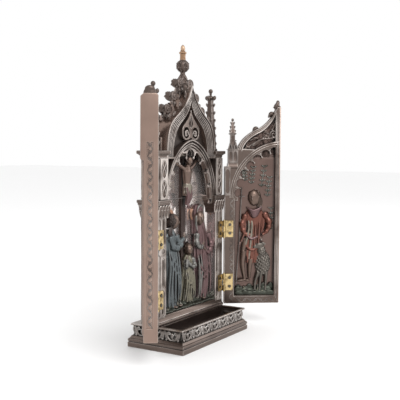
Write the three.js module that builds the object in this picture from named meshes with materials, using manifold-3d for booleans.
// Hinged tabletop triptych: an open tray base, a gothic shrine with a figure relief in its niche,
// and two wings on brass butt hinges. Millimetres, +Z up, front towards -Y, origin under the base.
// The wings are drawn closed, in front of the shrine, and turned open about their hinge pins.

import * as THREE from 'three';
import { mergeVertices } from 'three/addons/utils/BufferGeometryUtils.js';
import Module from 'manifold-3d';

const wasm = await Module();
wasm.setup();

// ---------- driving dimensions ----------

const BASE = { halfX: 61.5, halfY: 31.1, top: 22.3 };
const TRAY = { halfX: 56.8, front: -27, back: -3.4, floor: 12 };
const BASE_PROFILE = [[0, 0], [0, 4.8], [1, 5.1], [0, 6.2], [0.3, 7.9], [1.4, 8.6], [2.2, 10.4]];
const RIM_PROFILE = [[2.6, 20.6], [1.9, 20.9], [1.9, BASE.top]];
const LEAF = { inset: 5, swell: 1.4, pitch: 16.3, foot: 10.4, top: 20.6, curl: [-0.2, 0, 1.2] };

const BODY = { front: -1.5, back: 17, halfX: 60, shoulder: 138.5, halfUpper: 45 };
const LEDGE = { front: -3.2, top: 25.4, sill: 30 };
const NICHE = { halfX: 45.8, floor: 31, back: 12.2, jamb: 6, corner: 5.8, spring: 135 };
const ARCH_OUT = { centre: -6, a: 52, b: 60.4 };
const ARCH_IN = { centre: -6, a: 46, b: 52.6 };
const FOIL = { front: 1.6, back: 3.4, a: 38.6, b: 44.4, radius: 6.2, count: 9 };
const GABLE_OUT = [[44, 178], [44, 197], [40.5, 207], [33, 213], [24, 219.5], [8, 227], [0, 247]];
const GABLE_IN = [[31.6, 178], [31, 192], [27, 203], [19, 209.5], [12.5, 214.5], [4, 219], [0, 231.5]];
const GABLE = { foot: 178, back: 19, field: 4.2, groove: 0.4, rim: 0.26, inner: 0.74 };
const CORBEL = { x: 50.7, y: 8.75, halfX: 9.7, halfY: 12.75 };
const CORBEL_PROFILE = [[3.4, 121], [3, 126], [1.2, 133], [0.7, 136], [0, 136.2], [0, 138.5]];
const SHAFT = { inner: 44.3, outer: 56.9, front: -2.7, back: 19, top: 177 };
const CAPITAL = { x: 51.1, y: 9.05, halfX: 9.3, halfY: 13.05 };
const CAPITAL_PROFILE = [[3.2, 176.8], [2.4, 178.4], [2.4, 180.3], [0, 181], [0, 184]];
const LANCETS = { x: 49.6, width: 4, depth: 1.3, runs: [[30, 54], [57, 85], [97, 126]] };
const UPPER_LANCET = { width: 6.2, depth: 1, runs: [[141, 157], [158.5, 175]] };
const CROCKETS = { places: [[9, 250], [20, 235.4], [31, 222.4]], radius: 5.7, front: 7, back: 19 };
const AXIS_Y = 10.4;
const FINIAL = [[0, 243], [5, 243.2], [5.6, 249], [2.4, 258.4], [2.6, 261], [5.8, 264.4], [5.8, 268.4],
  [2.9, 272], [2.8, 277.6], [3.7, 278.6], [1.9, 280.6], [2.1, 283.4], [0, 286.8]];
const PINNACLE = { x: 51.9, y: 9.3, foot: 184, top: 235, wide: 10.6, narrow: 6.2, rows: 3, bud: 1.5 };

const WING = { pivotX: 60.8, pivotY: -3, face: -1.5, thick: 12.3, length: 59.2, start: 0.7, foot: 23.2 };
const WING_TOP = { bulk: 15, corner: 2.4, crest: 230, knob: 237.7 };
const WING_OGEE = [[55.6, 230], [52.5, 222], [46, 213], [38, 208.5], [28, 204.5], [17, 197], [13.8, 185]];
const WING_ARCH = { outA: 55, outB: 59.3, inA: 51, inB: 54.6, spring: 135, foilA: 47.4, foilB: 51.4, foil: 4.6 };
const PANEL = { left: 12.3, right: 55, floor: 32, depth: 4.6 };
const OPEN = { left: 143.9, right: 126.65 };
const HINGE = { bottoms: [37.7, 93.9], tall: 17.3, barrel: 1.45, plate: 0.8, reach: 9.6, bore: 0.95, pin: 0.7 };
const SCREW = { head: 1.55, shank: 0.75, hole: 0.95, deep: 4, reach: 6.2, rows: [0.24, 0.76], rise: 0.6 };

const RESIN = { color: 0x9a8a7c, roughness: 0.5, metalness: 0.35 };
const BRASS = { color: 0xa89468, roughness: 0.4, metalness: 0.9 };
const STEEL = { color: 0x4a4743, roughness: 0.45, metalness: 0.8 };

// ---------- solids ----------

function solid(geometry) {
  const plain = geometry.index ? geometry.toNonIndexed() : geometry.clone();
  for (const name of Object.keys(plain.attributes)) {
    if (name !== 'position') plain.deleteAttribute(name);
  }
  const merged = mergeVertices(plain, 1e-4);
  const corners = merged.index.array;
  const triVerts = [];
  for (let i = 0; i < corners.length; i += 3) {
    const [a, b, c] = [corners[i], corners[i + 1], corners[i + 2]];
    if (a !== b && b !== c && c !== a) triVerts.push(a, b, c);
  }
  const vertProperties = new Float32Array(merged.attributes.position.array);
  return new wasm.Manifold(new wasm.Mesh({ numProp: 3, vertProperties, triVerts: new Uint32Array(triVerts) }));
}

const join = (parts) => parts.reduce((whole, part) => whole.add(part));

function meshOf(name, body, look) {
  const { vertProperties, triVerts } = body.getMesh();
  const geometry = new THREE.BufferGeometry();
  geometry.setAttribute('position', new THREE.BufferAttribute(new Float32Array(vertProperties), 3));
  geometry.setIndex(new THREE.BufferAttribute(new Uint32Array(triVerts), 1));
  const mesh = new THREE.Mesh(geometry, new THREE.MeshStandardMaterial(look));
  mesh.name = name;
  return mesh;
}

// A box given by its limits on each axis.
function block(x0, x1, y0, y1, z0, z1) {
  const box = new THREE.BoxGeometry(x1 - x0, Math.abs(y1 - y0), z1 - z0);
  return solid(box.translate((x0 + x1) / 2, (y0 + y1) / 2, (z0 + z1) / 2));
}

// A flat shape drawn in X and Z, given thickness along Y.
function plate(shape, front, back, curveSegments = 4) {
  const geometry = new THREE.ExtrudeGeometry(shape, { depth: back - front, bevelEnabled: false, curveSegments });
  return solid(geometry.rotateX(Math.PI / 2).translate(0, back, 0));
}

const outline = (points) => new THREE.Shape(points.map(([x, z]) => new THREE.Vector2(x, z)));
const mirrorX = (points) => points.map(([x, z]) => [-x, z]);

// A rectangular block whose four sides follow one profile of [inset, height] points.
function moulded(x, y, halfX, halfY, profile) {
  const levels = profile.length - 1;
  const geometry = new THREE.BoxGeometry(2, 2, 1, 1, 1, levels);
  const at = geometry.attributes.position;
  for (let i = 0; i < at.count; i += 1) {
    const [inset, z] = profile[Math.round((at.getZ(i) + 0.5) * levels)];
    at.setXYZ(i, x + at.getX(i) * (halfX - inset), y + at.getY(i) * (halfY - inset), z);
  }
  return solid(geometry);
}

function turned(profile, x, y, segments) {
  const lathe = new THREE.LatheGeometry(profile.map(([r, z]) => new THREE.Vector2(r, z)), segments);
  return solid(lathe.rotateX(Math.PI / 2).translate(x, y, 0));
}

// A disc or bar with its axis along Y.
function disc(x, z, radius, front, back, segments) {
  const geometry = new THREE.CylinderGeometry(radius, radius, back - front, segments);
  return solid(geometry.translate(x, 0, 0).translate(0, (front + back) / 2, z));
}

function ball(x, y, z, rx, ry, rz, sides = 7, rings = 4) {
  const sphere = new THREE.SphereGeometry(1, sides, rings).rotateX(Math.PI / 2);
  return solid(sphere.scale(rx, ry, rz).translate(x, y, z));
}

// A tapering limb from one point to another.
function limb(from, to, r0, r1, sides = 4) {
  const a = new THREE.Vector3(...from);
  const b = new THREE.Vector3(...to);
  const length = a.distanceTo(b);
  const geometry = new THREE.CylinderGeometry(r1, r0, length, sides);
  const turn = new THREE.Quaternion().setFromUnitVectors(new THREE.Vector3(0, 1, 0), b.clone().sub(a).normalize());
  geometry.applyQuaternion(turn);
  const middle = a.add(b).multiplyScalar(0.5);
  return solid(geometry.translate(middle.x, middle.y, middle.z));
}

// Points of two cubic arcs that share their middle point.
function ogee(controls, steps) {
  const [p0, p1, p2, p3, p4, p5, p6] = controls.map(([x, z]) => new THREE.Vector2(x, z));
  const low = new THREE.CubicBezierCurve(p0, p1, p2, p3).getPoints(steps);
  const high = new THREE.CubicBezierCurve(p3, p4, p5, p6).getPoints(steps);
  return [...low, ...high.slice(1)].map((p) => [p.x, p.y]);
}

// Right half of a pointed arch, from its springing to its crown: an ellipse centred off the middle line.
function archSide({ centre, a, b }, spring, steps) {
  const crown = Math.acos(-centre / a);
  return Array.from({ length: steps + 1 }, (_, i) => {
    const t = (crown * i) / steps;
    return [Math.max(0, centre + a * Math.cos(t)), spring + b * Math.sin(t)];
  });
}

const both = (side) => [...side, ...mirrorX(side.slice(0, -1).reverse())];
const blend = (outer, inner, f) => outer.map(([x, z], i) => [x + (inner[i][0] - x) * f, z + (inner[i][1] - z) * f]);

// ---------- figures ----------

// Radius of a robed body against height, hem to crown, as parts of its half width at the hem.
const ROBE = [[0, 1], [0.3, 0.82], [0.55, 0.7], [0.72, 0.98], [0.81, 0.74], [0.845, 0.3], [0.92, 0.54], [1, 0.2]];

// A robed body with its head: upright folds that deepen towards the hem and fade out at the shoulders.
function robe({ x, y, z, tall, half, deep, folds, lean = 0 }) {
  const levels = ROBE.length - 1;
  const geometry = new THREE.CylinderGeometry(1, 1, 1, folds * 2, levels);
  const at = geometry.attributes.position;
  for (let i = 0; i < at.count; i += 1) {
    const [t, radius] = ROBE[Math.round((at.getY(i) + 0.5) * levels)];
    const spoke = Math.round((Math.atan2(at.getZ(i), at.getX(i)) * folds) / Math.PI);
    const fold = spoke % 2 === 0 ? 1 : 1 - 0.24 * Math.max(0, 1 - t * 1.3);
    const r = radius * fold;
    at.setXYZ(i, x + at.getX(i) * half * r + lean * t, y + at.getZ(i) * deep * r, z + tall * t);
  }
  return solid(flipped(geometry));
}

function flipped(geometry) {
  const index = geometry.index.array;
  for (let i = 0; i < index.length; i += 3) {
    [index[i], index[i + 1]] = [index[i + 1], index[i]];
  }
  return geometry;
}

// A robed figure with raised forearms in wide sleeves and, if asked, a halo behind the head.
function figure({ x, y, z, tall, half, deep, folds, hands, lean = 0, halo = 0 }) {
  const parts = [robe({ x, y, z, tall, half, deep, folds, lean })];
  for (const [side, hand] of hands) {
    const elbow = [x + side * half * 0.8, y + (hand[1] - y) * 0.3, z + tall * 0.55];
    parts.push(limb(elbow, hand, tall * 0.07, tall * 0.03));
  }
  if (halo) parts.push(disc(x + lean, z + tall * 0.92, halo, y + 1.5, y + 3.2, 8));
  return join(parts);
}

function crucifix(front, top, foot) {
  const wood = [
    block(-3.6, 3.6, front + 4.6, NICHE.back + 1, foot, top),
    block(-24, 24, front + 4.6, NICHE.back + 1, 171, 176.5),
  ];
  const y = front + 2;
  const body = [
    limb([0, y, 147], [0, y, 167.5], 4.6, 5.4, 5),
    ball(1.2, y - 0.6, 171.6, 2.8, 2.7, 4.4, 5, 4),
    limb([0, y, 149], [0, y - 0.8, 140.5], 4.2, 2.9),
    limb([0, y - 0.8, 141], [0, y + 1, 131], 2.9, 1.6),
  ];
  for (const side of [-1, 1]) {
    body.push(limb([side * 4, y, 165], [side * 21, y + 2, 174], 2, 1.3));
  }
  return join([...wood, ...body]);
}

// Ground that climbs from a low uneven front edge to the back of a relief.
function ground(x0, x1, back, front, z, rise) {
  const count = Math.round((x1 - x0) / 13);
  const geometry = new THREE.BoxGeometry(x1 - x0, Math.abs(front - back), 1, count, 1, 1);
  geometry.translate((x0 + x1) / 2, (front + back) / 2, 0);
  const at = geometry.attributes.position;
  for (let i = 0; i < at.count; i += 1) {
    const wave = Math.cos(((at.getX(i) - x0) / (x1 - x0)) * count * 2.4);
    const nearFront = Math.abs(at.getY(i) - front) < 0.1;
    const top = z + rise * (nearFront ? 0.35 : 0.85) + rise * 0.15 * wave;
    at.setZ(i, at.getZ(i) > 0 ? top : z - 1);
  }
  return solid(geometry);
}

// ---------- base ----------

// Plan of the leaf band: a rectangle whose sides swell out once for each leaf.
function scallops(halfX, halfY, pitch, swell) {
  const sides = [[halfX, halfY, 0], [halfY, halfX, 90], [halfX, halfY, 180], [halfY, halfX, 270]];
  return sides.flatMap(([half, offset, degrees]) => {
    const points = 4 * Math.round((2 * half) / pitch);
    const turn = THREE.MathUtils.degToRad(degrees);
    return Array.from({ length: points }, (_, i) => {
      const u = -half + (2 * half * i) / points;
      const v = -offset - swell * Math.abs(Math.sin((i * Math.PI) / 4));
      return [u * Math.cos(turn) - v * Math.sin(turn), u * Math.sin(turn) + v * Math.cos(turn)];
    });
  });
}

// The leaves lean out with height: each level scales the plan a little more than the one below.
function leafBand() {
  const { inset, swell, pitch, foot, top, curl } = LEAF;
  const [halfX, halfY] = [BASE.halfX - inset, BASE.halfY - inset];
  const steps = curl.length - 1;
  const shape = outline(scallops(halfX, halfY, pitch, swell));
  const geometry = new THREE.ExtrudeGeometry(shape, { depth: steps, steps, bevelEnabled: false });
  const at = geometry.attributes.position;
  for (let i = 0; i < at.count; i += 1) {
    const level = Math.round(at.getZ(i));
    const reach = curl[level];
    at.setXYZ(i, at.getX(i) * (1 + reach / halfX), at.getY(i) * (1 + reach / halfY), foot + ((top - foot) * level) / steps);
  }
  return solid(geometry);
}

function baseTray() {
  const plinth = join([
    moulded(0, 0, BASE.halfX, BASE.halfY, BASE_PROFILE),
    leafBand(),
    moulded(0, 0, BASE.halfX, BASE.halfY, RIM_PROFILE),
  ]);
  return plinth.subtract(block(-TRAY.halfX, TRAY.halfX, TRAY.front, TRAY.back, TRAY.floor, BASE.top + 1));
}

// ---------- shrine ----------

function lancet(x, width, z0, z1, front, depth) {
  const half = width / 2;
  const rise = width * 0.75;
  return plate(outline([[x - half, z0 + rise], [x, z0], [x + half, z0 + rise], [x + half, z1 - rise], [x, z1],
    [x - half, z1 - rise]]), front - 1, front + depth);
}

function nicheSpace() {
  const arch = both([[NICHE.halfX, NICHE.floor], [NICHE.halfX, NICHE.spring - 13],
    ...archSide(ARCH_IN, NICHE.spring, 6)]);
  const tall = plate(outline(arch), BODY.front - 3, NICHE.back);
  const [x, y] = [NICHE.halfX, NICHE.back];
  const plan = new THREE.Shape([[-x, BODY.front - 4], [x, BODY.front - 4], [x, y - NICHE.jamb],
    [x - NICHE.corner * 0.3, y - NICHE.jamb * 0.3], [x - NICHE.corner, y], [-x + NICHE.corner, y],
    [-x + NICHE.corner * 0.3, y - NICHE.jamb * 0.3], [-x, y - NICHE.jamb]].map((p) => new THREE.Vector2(...p)));
  const prism = new THREE.ExtrudeGeometry(plan, { depth: 180, bevelEnabled: false }).translate(0, 0, 20);
  return tall.intersect(solid(prism));
}

// The cusped plate that hangs in the head of the arch: nine round lobes meeting in points.
function multifoil() {
  const rim = both(archSide({ centre: -6, a: 48.6, b: 56.4 }, NICHE.spring - 4, 6));
  const sheet = plate(outline(rim), FOIL.front, FOIL.back);
  const centres = Array.from({ length: FOIL.count }, (_, i) => {
    const t = (Math.PI * (i + 0.35)) / (FOIL.count - 0.3);
    return [FOIL.a * Math.cos(t), NICHE.spring + FOIL.b * Math.sin(t)];
  });
  const ends = [FOIL.front - 1, FOIL.back + 1];
  const hollow = plate(outline([[FOIL.a, 120], ...centres, [-FOIL.a, 120]]), ...ends);
  const lobes = centres.map(([x, z]) => disc(x, z, FOIL.radius, ...ends, 8));
  return sheet.subtract(join([hollow, ...lobes]));
}

// The kite of tracery in the gable: two round lobes under a pointed one.
function gableTracery() {
  const side = [[15, 203.4], [13.8, 207.6], [8.6, 211.6], [3.2, 216.4], [0, 224]];
  const kite = plate(outline(both([[9, 199], ...side])), 0, GABLE.field + 0.5);
  const [lobeX, lobeZ] = [8.2, 201.4];
  const frame = join([kite, disc(lobeX, lobeZ, 7.6, 0, GABLE.field + 0.5, 12),
    disc(-lobeX, lobeZ, 7.6, 0, GABLE.field + 0.5, 12)]);
  const eye = plate(outline([[0, 205.6], [3.8, 209.4], [1.6, 214.2], [0, 219.4], [-1.6, 214.2], [-3.8, 209.4]]), -1, 6);
  return frame.subtract(join([eye, disc(7.4, lobeZ, 4.7, -1, 6, 10), disc(-7.4, lobeZ, 4.7, -1, 6, 10)]));
}

function gable() {
  const outer = ogee(GABLE_OUT, 3);
  const inner = ogee(GABLE_IN, 3);
  const shell = plate(outline(both(outer)), BODY.front, GABLE.back);
  const groove = plate(outline(both(blend(outer, inner, GABLE.rim))), BODY.front - 1, GABLE.groove);
  const ridge = plate(outline(both(blend(outer, inner, GABLE.inner))), BODY.front - 1, 6);
  const field = plate(outline(both(inner)), BODY.front - 1, GABLE.field);
  return shell.subtract(groove.subtract(ridge)).subtract(field).add(gableTracery());
}

function archRib() {
  const rim = plate(outline(both(archSide(ARCH_OUT, NICHE.spring, 6))), BODY.front, GABLE.field + 1);
  const step = plate(outline(both(archSide({ centre: -6, a: 49, b: 56.6 }, NICHE.spring, 6))), BODY.front - 1, 0);
  const open = plate(outline(both(archSide(ARCH_IN, NICHE.spring, 6))), BODY.front - 1, GABLE.field + 2);
  return rim.subtract(step).subtract(open);
}

// A round leaf curl on a short stem that leans out from the slope.
function crocket(x, z) {
  const { radius, front, back } = CROCKETS;
  const mid = (front + back) / 2;
  const curl = new THREE.CylinderGeometry(radius, radius * 0.55, back - front, 7);
  const stem = limb([x * 0.72, mid, z - radius * 1.6], [x, mid, z], 4.4, 4);
  return join([solid(curl.translate(x, mid, z)), stem]);
}

// A tapering square shaft whose edges swell into rows of buds, under a cross of leaves and a ball.
function pinnacle(side) {
  const { x, y, foot, top, wide, narrow, rows, bud } = PINNACLE;
  const waist = (z) => ((wide - narrow) / 2) * ((z - foot) / (top - foot)) + 0.7;
  const taper = [[0, foot - 0.5], [0, foot + 2.4], [waist(foot + 3), foot + 3]];
  for (let row = 0; row < rows; row += 1) {
    const z = foot + 9 + row * 14;
    taper.push([waist(z), z], [waist(z + 3) - bud, z + 3], [waist(z + 5), z + 5]);
  }
  taper.push([waist(top), top], [wide / 2 - 2.6, top + 0.4], [wide / 2 - 2.6, 246]);
  return join([
    moulded(side * x, y, wide / 2, wide / 2, taper),
    block(side * x - 6.5, side * x + 6.5, y - 1.5, y + 1.5, 236.4, 240.4),
    block(side * x - 1.5, side * x + 1.5, y - 6.5, y + 6.5, 236.4, 240.4),
    ball(side * x, y, 245.4, 2.4, 2.4, 2.5, 5, 3),
  ]);
}

function pilaster(side) {
  const [x0, x1] = side > 0 ? [SHAFT.inner, SHAFT.outer] : [-SHAFT.outer, -SHAFT.inner];
  const middle = (x0 + x1) / 2;
  const whole = join([
    moulded(side * CORBEL.x, CORBEL.y, CORBEL.halfX, CORBEL.halfY, CORBEL_PROFILE),
    block(x0, x1, SHAFT.front, SHAFT.back, BODY.shoulder - 0.5, SHAFT.top),
    moulded(side * CAPITAL.x, CAPITAL.y, CAPITAL.halfX, CAPITAL.halfY, CAPITAL_PROFILE),
    pinnacle(side),
  ]);
  const slots = UPPER_LANCET.runs.map(([z0, z1]) => (
    lancet(middle, UPPER_LANCET.width, z0, z1, SHAFT.front, UPPER_LANCET.depth)));
  return whole.subtract(join(slots));
}

function nicheRelief() {
  const y = 9.6;
  const [deep, z] = [6.8, 33];
  return join([
    ground(-NICHE.halfX + 0.3, NICHE.halfX - 0.3, NICHE.back + 0.5, 0.4, NICHE.floor, 9),
    figure({ x: -26, y, z, tall: 92, half: 12.4, deep, folds: 4, lean: 1.5, halo: 9.4,
      hands: [[1, [-9, 2.6, 101]], [-1, [-12, 3, 97]]] }),
    figure({ x: 4.5, y: 8.8, z, tall: 60, half: 10.4, deep: 6.6, folds: 4, hands: [[1, [6, 1.2, 74]], [-1, [1, 1.8, 71]]] }),
    figure({ x: 31, y, z, tall: 94, half: 13, deep, folds: 4, lean: -3, halo: 9.4,
      hands: [[1, [33, 2.4, 83]], [-1, [22, 2.4, 88]]] }),
    crucifix(2.6, 186, 40),
  ]);
}

function shrine() {
  const low = block(-BODY.halfX, BODY.halfX, BODY.front, BODY.back, BASE.top, BODY.shoulder - 16);
  const high = block(-BODY.halfUpper, BODY.halfUpper, BODY.front, BODY.back, BODY.shoulder - 17, GABLE.foot + 1);
  const ledge = plate(outline([[-BODY.halfX, BASE.top], [BODY.halfX, BASE.top], [BODY.halfX, LEDGE.top],
    [-BODY.halfX, LEDGE.top]]), LEDGE.front, BODY.front + 0.5);
  const sill = block(-NICHE.halfX, NICHE.halfX, LEDGE.front + 0.9, BODY.front + 0.5, BASE.top, LEDGE.sill);
  const walls = join([low, high, ledge, sill, gable(), archRib()]);
  const slots = [-1, 1].flatMap((side) => [
    ...LANCETS.runs.slice(0, 2).map(([z0, z1]) => (
      lancet(side * LANCETS.x, LANCETS.width, z0, z1, BODY.front, LANCETS.depth))),
    lancet(side * LANCETS.x, LANCETS.width, LANCETS.runs[2][0], 120, BODY.front, LANCETS.depth),
    lancet(side * LANCETS.x, LANCETS.width, 86, 96, BODY.front, LANCETS.depth),
  ]);
  const backPanel = plate(outline(both([[50, 32], [50, 116], [30, 128], [34, 168], [0, 206]])), BODY.back - 0.8, 30);
  const hollowed = walls.subtract(nicheSpace()).subtract(join(slots)).subtract(backPanel);
  const crest = [turned(FINIAL, 0, AXIS_Y, 6)];
  for (const [x, z] of CROCKETS.places) {
    crest.push(crocket(x, z), crocket(-x, z));
  }
  return join([hollowed, multifoil(), nicheRelief(), pilaster(-1), pilaster(1), ...crest]);
}

// ---------- wings, drawn closed with the hinge edge at x = 0 and the inner face towards +Y ----------

function halfEllipse(a, b, steps) {
  return Array.from({ length: steps + 1 }, (_, i) => {
    const t = (Math.PI * i) / (2 * steps);
    return [WING.pivotX - a * Math.cos(t), WING_ARCH.spring + b * Math.sin(t)];
  });
}

function wingBody() {
  const { face, thick, length, start, foot } = WING;
  const back = face - thick;
  const { bulk, corner, crest } = WING_TOP;
  const sweep = ogee([...WING_OGEE].reverse(), 4);
  const slabShape = outline([[start, foot], [length, foot], [length, crest], ...[...sweep].reverse(),
    [13.8, 168], [start, 168]]);
  const head = outline([[length, 176], [length, crest], ...[...sweep].reverse(), [13.8, 176]]);
  const slab = join([plate(slabShape, back, face), plate(head, face - bulk, face)]);
  const wedge = new THREE.Shape([[length - corner, face - bulk - 1], [length + 1, face - bulk - 1],
    [length + 1, face - bulk + corner + 1.4]].map((p) => new THREE.Vector2(...p)));
  const bevel = new THREE.ExtrudeGeometry(wedge, { depth: 230, bevelEnabled: false }).translate(0, 0, 20);
  return slab.subtract(solid(bevel));
}

function wingFoils() {
  const { face } = WING;
  const { foilA, foilB, foil, spring, inA, inB } = WING_ARCH;
  const back = face - PANEL.depth - 0.5;
  const sheet = plate(outline([...halfEllipse(inA + 1, inB + 1, 5), [WING.length, spring - 2],
    [WING.pivotX - inA - 1, spring - 2]]), back, face - 2);
  const core = plate(outline([...halfEllipse(foilA - 3.4, foilB - 3.4, 5), [WING.length + 1, spring - 6],
    [WING.pivotX - foilA + 3.4, spring - 6]]), back - 1, face);
  const lobes = Array.from({ length: 7 }, (_, i) => {
    const t = (Math.PI * (i + 0.45)) / 14.4;
    return disc(WING.pivotX - (foilA - 2) * Math.cos(t), spring + (foilB - 2) * Math.sin(t), foil, back - 1, face, 6);
  });
  return sheet.subtract(join([core, ...lobes]));
}

function wingPinnacle() {
  const { face, thick } = WING;
  const y = face - thick / 2;
  const x = 9;
  return join([
    moulded(x, y, 5.5, thick / 2 + 0.2, [[0, 165.6], [0, 169], [0.7, 169.8], [0.7, 185], [0, 186], [2.8, 194.6],
      [3, 201.6], [1.8, 202], [4.6, 216]]),
    ball(x, y, 216, 1.7, 1.7, 2, 6, 4),
  ]);
}

function wing(relief) {
  const { face, thick, length, foot, start } = WING;
  const back = face - thick;
  const { outA, outB, inA, inB, spring } = WING_ARCH;
  const panel = plate(outline([[PANEL.left, PANEL.floor], [PANEL.right, PANEL.floor], [PANEL.right, 150],
    [PANEL.right, 190], ...halfEllipse(inA, inB, 6).reverse().slice(1), [PANEL.left, spring - 2]]),
  face - PANEL.depth, face + 1);
  const ogeeIn = ogee([[19, 186], [21.5, 194.6], [30, 200.6], [39, 204.6], [46.6, 209.4], [51, 216], [53.6, 224]], 3);
  const field = plate(outline([...ogeeIn, [PANEL.right, 224],
    ...halfEllipse(outA, outB, 6).reverse().filter(([x, z]) => x < PANEL.right && z > 176)]), face - 3, face + 1);
  const margin = block(6.4, 11.4, face - 0.7, face + 1, 57, 92);
  const marginTop = block(6.4, 11.4, face - 0.7, face + 1, 113, 134);
  const hem = block(13.7, 56.5, face - 0.7, face + 1, 24.8, 30.2);
  const edge = block(length - 0.9, length + 1, back + 2.4, face - 4.1, 35.5, 191);
  const outside = plate(outline([[8, 32], [52, 32], [52, 150], [46, 168], [30, 180], [14, 168], [8, 150]]),
    back - 1, back + 0.8);
  const cuts = join([panel, field, margin, marginTop, hem, edge, outside]);
  const { knob, crest } = WING_TOP;
  const crown = moulded(length - 2, face - 7, 2, 5.5, [[0, crest - 1], [0, crest + 3], [0.8, crest + 5.7], [1.6, knob]]);
  const crockets = [[34.4, 207], [51.2, 222.6]].map(([x, z]) => disc(x, z, 3.6, face - 14, face - 6, 7));
  const swirl = disc(53, 202, 3.4, face - 3.4, face - 1.2, 8);
  const shoulder = block(start, 6.2, back, face, 137, 167);
  const wingSolid = join([wingBody(), shoulder]).subtract(cuts);
  return join([wingSolid, wingFoils(), wingPinnacle(), crown, swirl, ...crockets, relief]).intersect(
    block(start - 1, length, back - 6, face + 1, foot, knob + 1));
}

// Standing robed saint with a lamb at the knee.
function shepherdRelief() {
  const y = WING.face - PANEL.depth;
  const lamb = [
    ball(44.5, y + 1.8, 66, 8, 3.6, 13, 6, 4),
    ball(40, y + 3, 84.6, 6.2, 2.8, 3.8, 5, 4),
    limb([40, y + 1.6, 56], [37, y + 1.6, 42], 2.4, 1.8),
    limb([47, y + 1.6, 56], [45, y + 1.6, 38], 2.4, 1.8),
  ];
  return join([
    ground(PANEL.left + 0.2, PANEL.right - 0.2, y - 0.5, y + 4.2, PANEL.floor, 10),
    figure({ x: 33, y: y + 0.6, z: 40, tall: 104, half: 14, deep: 4.6, folds: 4, lean: 1,
      hands: [[1, [43, y + 3.4, 94]], [-1, [27, y + 3, 98]]] }),
    ...lamb,
    ball(32, y, 160, 2.4, 2, 6, 4, 3),
    ball(46, y, 154, 3, 2, 9, 4, 3),
  ]);
}

// Standing robed saint holding a book.
function scholarRelief() {
  const y = WING.face - PANEL.depth;
  return join([
    ground(PANEL.left + 0.2, PANEL.right - 0.2, y - 0.5, y + 4.2, PANEL.floor, 10),
    figure({ x: 34, y: y + 0.6, z: 40, tall: 104, half: 15, deep: 4.6, folds: 4, lean: -1,
      hands: [[1, [39, y + 3.4, 100]], [-1, [29, y + 3.4, 97]]] }),
    block(29, 39, y + 1, y + 4.4, 96, 110),
    ball(22, y, 158, 2.6, 2, 7, 4, 3),
    ball(46, y, 156, 3, 2, 8, 4, 3),
  ]);
}

// ---------- hinges, drawn about a pin on the Z axis with the leaf reaching along +X ----------

const barrelPiece = (z0, z1) => turned([[0, z0], [HINGE.barrel, z0], [HINGE.barrel, z1], [0, z1]], 0, 0, 7);
const screwHeights = (bottom) => SCREW.rows.map((f) => bottom + HINGE.tall * f);

function leafPlate(bottom, knuckles, y0, y1) {
  const { tall, reach, bore, barrel } = HINGE;
  const parts = knuckles.map(([f0, f1]) => barrelPiece(bottom + tall * f0, bottom + tall * f1));
  parts.push(block(barrel + 0.3, reach, y0, y1, bottom, bottom + tall));
  for (const [f0, f1] of knuckles) {
    parts.push(block(0, barrel + 0.4, y0, y1, bottom + tall * f0, bottom + tall * f1));
  }
  const holes = screwHeights(bottom).map((z) => disc(SCREW.reach, z, SCREW.hole, y0 - 1, y1 + 1, 4));
  const pinHole = turned([[0, bottom - 1], [bore, bottom - 1], [bore, bottom + tall + 1], [0, bottom + tall + 1]], 0, 0, 5);
  return join(parts).subtract(join([pinHole, ...holes]));
}

const FIXED_KNUCKLES = [[0, 0.32], [0.68, 1]];
const MOVING_KNUCKLES = [[0.34, 0.66]];

function pinSolid(bottom) {
  const [z0, z1] = [bottom - 0.2, bottom + HINGE.tall + 0.2];
  const { pin, barrel } = HINGE;
  const [head, cap] = [barrel * 0.86, 0.7];
  return turned([[0, z0 - cap], [head, z0 - cap], [head, z0], [pin, z0], [pin, z1], [head, z1], [head, z1 + cap],
    [0, z1 + cap]], 0, 0, 5);
}

// A screw whose head sits on y = seat and whose shank runs towards `into` along Y.
function screwSolid(z, seat, into) {
  const { head, shank, deep, rise } = SCREW;
  const [tip, top] = [seat + into * deep, seat - into * rise];
  const ends = (a, b) => [Math.min(a, b), Math.max(a, b)];
  const headDisc = disc(SCREW.reach, z, head, ...ends(seat, top), 6);
  const shankDisc = disc(SCREW.reach, z, shank, ...ends(tip, seat - into * 0.2), 4);
  return join([headDisc, shankDisc]);
}

function screwHoles(seat, into) {
  return HINGE.bottoms.flatMap((bottom) => screwHeights(bottom).map((z) => {
    const [near, far] = [seat - into, seat + into * (SCREW.deep + 0.3)];
    return disc(SCREW.reach, z, SCREW.hole, Math.min(near, far), Math.max(near, far), 4);
  }));
}

// ---------- assembly ----------

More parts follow.
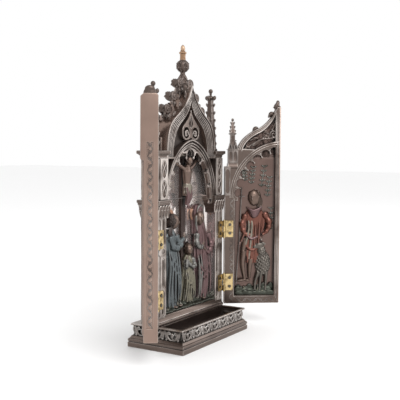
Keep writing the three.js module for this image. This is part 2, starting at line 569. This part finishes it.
// Mirrors a solid left to right.
function mirrored(body) {
  const mesh = meshOf('', body, RESIN);
  const geometry = mesh.geometry.scale(-1, 1, 1);
  return solid(flipped(geometry));
}

const LEAF_GAP = 0.2;
const fixedSeat = BODY.front - WING.pivotY;
const fixedFace = fixedSeat - HINGE.plate;
const movingSeat = WING.face + LEAF_GAP;
const movingFace = movingSeat + HINGE.plate;

const triptych = new THREE.Group();
triptych.add(meshOf('base_tray', baseTray(), RESIN));

let shrineSolid = shrine();
for (const side of [-1, 1]) {
  const holes = join(screwHoles(fixedSeat, 1));
  const placed = side < 0 ? holes : mirrored(holes);
  shrineSolid = shrineSolid.subtract(placed.translate([side * WING.pivotX, WING.pivotY, 0]));
}
triptych.add(meshOf('shrine', shrineSolid, RESIN));

for (const side of [-1, 1]) {
  const hand = side < 0 ? 'left' : 'right';
  const turn = side < 0 ? (body) => body : mirrored;
  const still = new THREE.Group();
  still.position.set(side * WING.pivotX, WING.pivotY, 0);
  const swing = new THREE.Group();
  swing.position.copy(still.position);
  swing.rotation.z = THREE.MathUtils.degToRad(side < 0 ? -OPEN.left : OPEN.right);

  const relief = side < 0 ? scholarRelief() : shepherdRelief();
  const panel = wing(relief).subtract(join(screwHoles(WING.face, -1)));
  swing.add(meshOf(`${hand}_wing`, turn(panel), RESIN));

  HINGE.bottoms.forEach((bottom, i) => {
    const level = i === 0 ? 'lower' : 'upper';
    const name = `${hand}_${level}`;
    still.add(meshOf(`${name}_fixed_leaf`, turn(leafPlate(bottom, FIXED_KNUCKLES, fixedFace, fixedSeat)), BRASS));
    still.add(meshOf(`${name}_hinge_pin`, turn(pinSolid(bottom)), BRASS));
    swing.add(meshOf(`${name}_moving_leaf`, turn(leafPlate(bottom, MOVING_KNUCKLES, movingSeat, movingFace)), BRASS));
    screwHeights(bottom).forEach((z, row) => {
      const end = row === 0 ? 'bottom' : 'top';
      still.add(meshOf(`${name}_fixed_screw_${end}`, turn(screwSolid(z, fixedFace, 1)), STEEL));
      swing.add(meshOf(`${name}_moving_screw_${end}`, turn(screwSolid(z, movingFace, -1)), STEEL));
    });
  });
  triptych.add(still, swing);
}

export default triptych;
